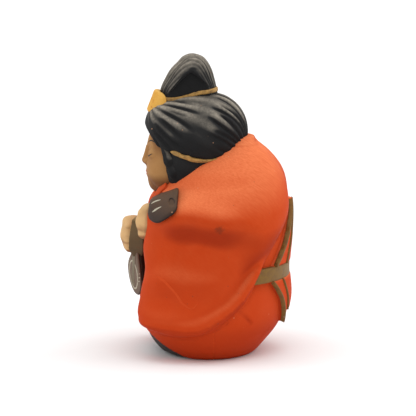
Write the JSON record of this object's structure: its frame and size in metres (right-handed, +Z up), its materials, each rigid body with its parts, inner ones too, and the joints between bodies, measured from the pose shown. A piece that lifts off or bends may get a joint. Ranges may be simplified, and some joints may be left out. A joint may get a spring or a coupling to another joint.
{
  "type": "seated lute player doll",
  "caption": "Hollow painted clay doll of a seated long-robed figure holding a short lute, with a tall topknot, wide sleeves and a gold sash tied in a bow behind.",
  "frame": {"origin": "on the table, under the middle of the doll's bounding box", "axes": "+Z up, the doll faces -Y, and its own left side is at +X"},
  "size_m": [0.0658, 0.0624, 0.108],
  "materials": {
    "orange_robe": "matte orange-red paint on unglazed clay",
    "old_gold": "matte olive-gold paint with a fine metallic grain",
    "hair_gold": "dry-brushed gold paint over black",
    "black_hair": "matte black paint, rubbed brown-grey on the ridges",
    "skin_ochre": "matte ochre flesh paint",
    "yellow_plaque": "matte yellow paint with faint reddish marks",
    "dark_brown": "matte dark brown paint with pale brush strokes",
    "grey_tan": "matte grey-tan paint with pale brush lines",
    "olive_brown": "matte olive-brown paint",
    "dark_under_robe": "matte black-brown paint",
    "bare_clay": "bare bisque-fired clay"
  },
  "bodies": {
    "root": {"base_disc": "bare_clay", "hair_cap": "black_hair", "hair_ornament": "yellow_plaque", "head_shell": "skin_ochre", "left_collar": "orange_robe", "left_hand": "skin_ochre", "left_side_lock": "black_hair", "left_sleeve": "orange_robe", "lower_centre_tail": "orange_robe", "lower_gold_trim": "old_gold", "lower_left_tail": "orange_robe", "lower_right_tail": "orange_robe", "lute_bowl": "dark_brown", "lute_neck": "olive_brown", "lute_pegbox": "dark_brown", "lute_soundboard": "grey_tan", "nape_cord": "hair_gold", "nape_hair": "black_hair", "right_collar": "orange_robe", "right_hand": "skin_ochre", "right_side_lock": "black_hair", "right_sleeve": "orange_robe", "robe_back_shell": "orange_robe", "robe_front_shell": "orange_robe", "sash": "old_gold", "topknot": "black_hair", "topknot_cord": "hair_gold", "under_hem_panel": "dark_under_robe", "upper_centre_pleat": "orange_robe", "upper_gold_trim": "old_gold", "upper_left_pleat": "orange_robe", "upper_right_pleat": "orange_robe"}
  },
  "joints": []
}
